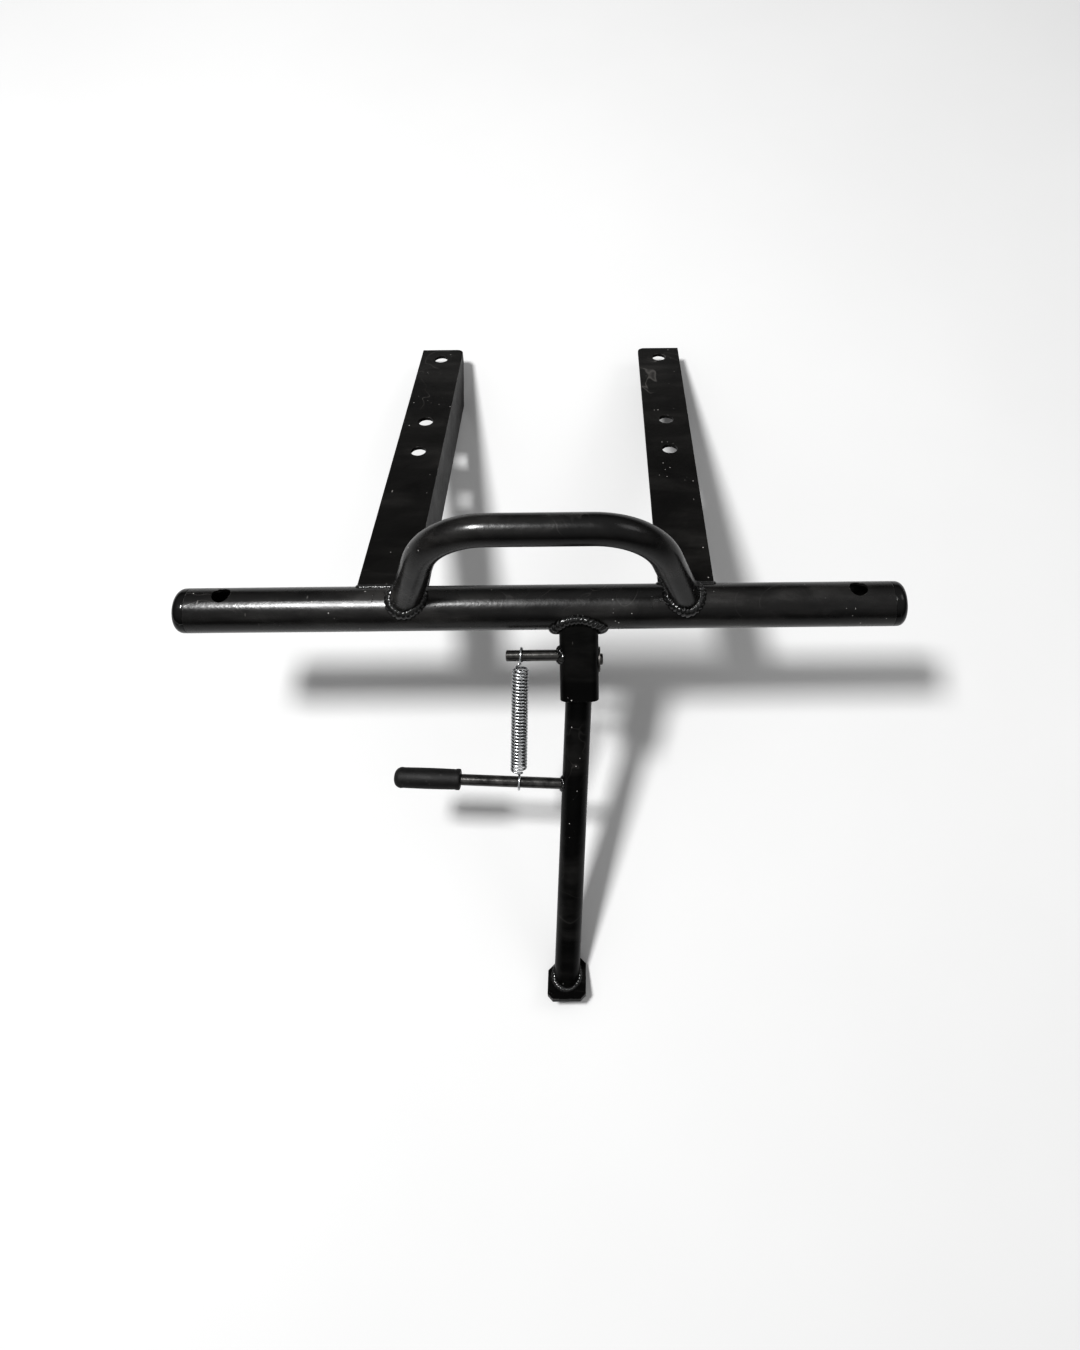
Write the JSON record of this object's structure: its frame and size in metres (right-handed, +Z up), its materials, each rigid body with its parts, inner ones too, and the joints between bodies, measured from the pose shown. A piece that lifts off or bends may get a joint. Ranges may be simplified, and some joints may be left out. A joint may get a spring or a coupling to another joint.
{
  "type": "footrest crossbar with folding stand",
  "caption": "Black steel footrest crossbar with two drilled mounting arms, a lift handle and a spring-held folding stand.",
  "frame": {"origin": "on the floor, at the middle of the footprint, with the part parked on its arm ends and the stand's foot", "axes": "+X along the crossbar, +Y from the stand's foot towards the arm ends, +Z up"},
  "size_m": [0.519, 0.5712, 0.2753],
  "materials": {
    "black_paint": "satin black paint over steel, scuffed",
    "weld_paint": "rippled weld bead under black paint",
    "stand_paint": "semi-gloss black paint over steel",
    "cap_plastic": "glossy black moulded plastic",
    "grip_rubber": "matte black rubber",
    "lever_steel": "glossy black over round bar",
    "spring_zinc": "bright zinc-plated spring wire",
    "plain_steel": "plain steel bushing and washers, lightly oiled",
    "pin_steel": "blackened steel pin"
  },
  "bodies": {
    "frame": {"main_tube": "black_paint", "end_cap_left": "cap_plastic", "end_cap_right": "cap_plastic", "arm_left": "black_paint", "arm_right": "black_paint", "arm_weld_left": "weld_paint", "arm_weld_right": "weld_paint", "lift_handle": "black_paint", "handle_weld_left": "weld_paint", "handle_weld_right": "weld_paint", "stand_bracket": "stand_paint", "bracket_weld": "weld_paint", "pivot_pin": "pin_steel", "pin_washer": "pin_steel", "thrust_washer_left": "plain_steel", "thrust_washer_right": "plain_steel", "spring_post": "lever_steel", "spring_post_weld": "weld_paint"},
    "stand": {"pivot_bushing": "plain_steel", "leg_tube": "stand_paint", "foot_plate": "stand_paint", "foot_weld": "weld_paint", "lever_rod": "lever_steel", "lever_weld": "weld_paint", "lever_grip": "grip_rubber"},
    "spring": {"return_spring": "spring_zinc"}
  },
  "joints": [
    {"name": "stand_fold", "type": "hinge", "parent": "frame", "child": "stand", "pos_m": [0.027, -0.06352, 0.15053], "axis": [1, 0, 0], "range_deg": [0, 100]},
    {"name": "spring_swing", "type": "hinge", "parent": "frame", "child": "spring", "pos_m": [-0.0146, -0.06269, 0.15939], "axis": [1, 0, 0], "range_deg": [0, 92.12], "deforming": ["return_spring"]}
  ],
  "couplings": [
    {"joint": "spring_swing", "follows": "stand_fold", "ratio": 0.92107}
  ]
}
